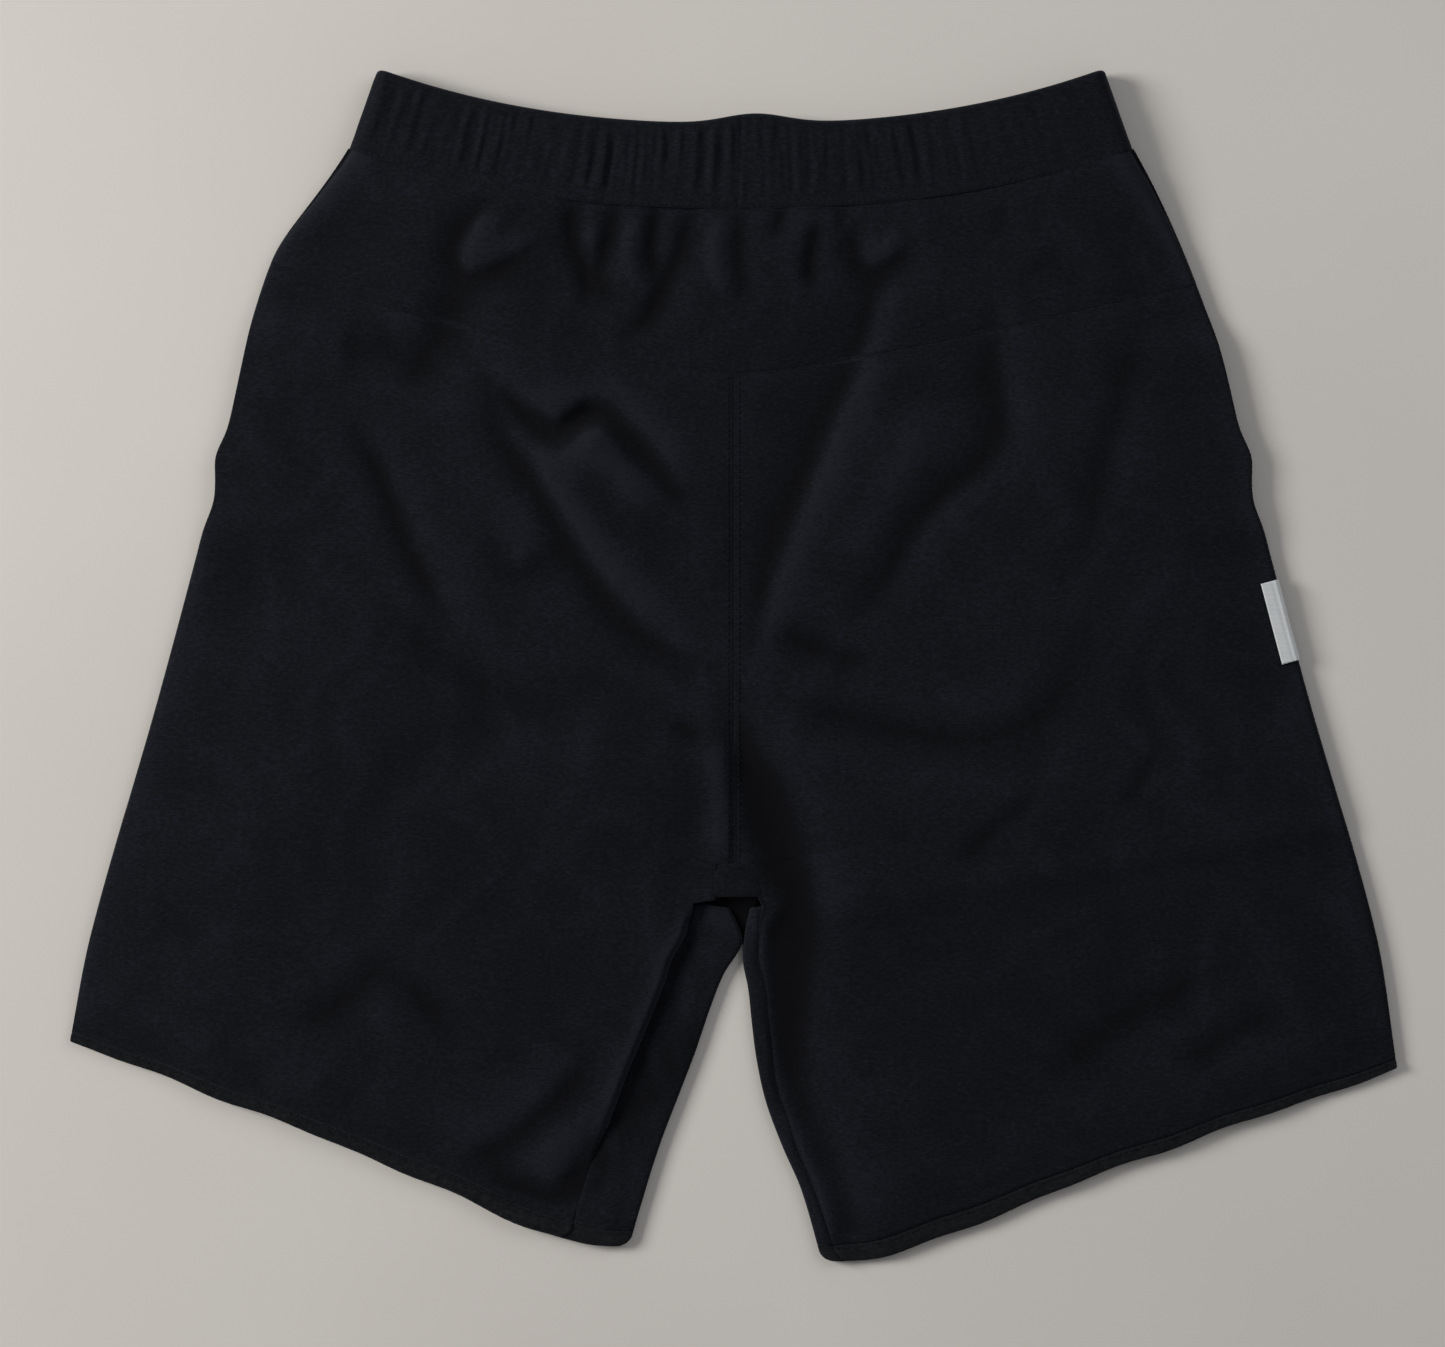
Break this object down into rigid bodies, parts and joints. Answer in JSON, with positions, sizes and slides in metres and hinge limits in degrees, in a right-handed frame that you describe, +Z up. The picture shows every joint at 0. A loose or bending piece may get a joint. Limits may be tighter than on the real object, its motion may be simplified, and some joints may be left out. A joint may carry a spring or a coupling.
{
  "type": "boxing shorts",
  "caption": "Plain black knit boxing shorts with a gathered elastic waist, a back yoke, side pockets and bound hems, laid flat back side up.",
  "frame": {"origin": "centre of the garment's outline, on the table it lies on", "axes": "+Z up from the table through the front panels to the back panels, +Y towards the waist, +X towards the wearer's right leg"},
  "size_m": [0.639, 0.5724, 0.0142],
  "materials": {
    "black_knit": "fine brushed jersey knit, matte",
    "pocket_mesh": "thin warp knit, matte",
    "elastic": "ribbed woven elastic",
    "woven_label": "woven satin tape"
  },
  "bodies": {
    "garment": {"back_leg_left": "black_knit", "back_leg_right": "black_knit", "back_yoke": "black_knit", "care_label": "woven_label", "crotch_gusset": "black_knit", "front_leg_left": "black_knit", "front_leg_right": "black_knit", "hem_binding_back_left": "black_knit", "hem_binding_back_right": "black_knit", "hem_binding_front_left": "black_knit", "hem_binding_front_right": "black_knit", "pocket_back_ply_left": "pocket_mesh", "pocket_back_ply_right": "pocket_mesh", "pocket_front_ply_left": "pocket_mesh", "pocket_front_ply_right": "pocket_mesh", "size_label": "woven_label", "waist_elastic": "elastic", "waistband_back": "black_knit", "waistband_front": "black_knit"},
    "side_label": {"side_label": "woven_label"}
  },
  "joints": [
    {"name": "side_label_flip", "type": "hinge", "parent": "garment", "child": "side_label", "pos_m": [0.25828, 0.02026, 0.00949], "axis": [0.2581, -0.9661, 0], "range_deg": [0, 165]}
  ]
}
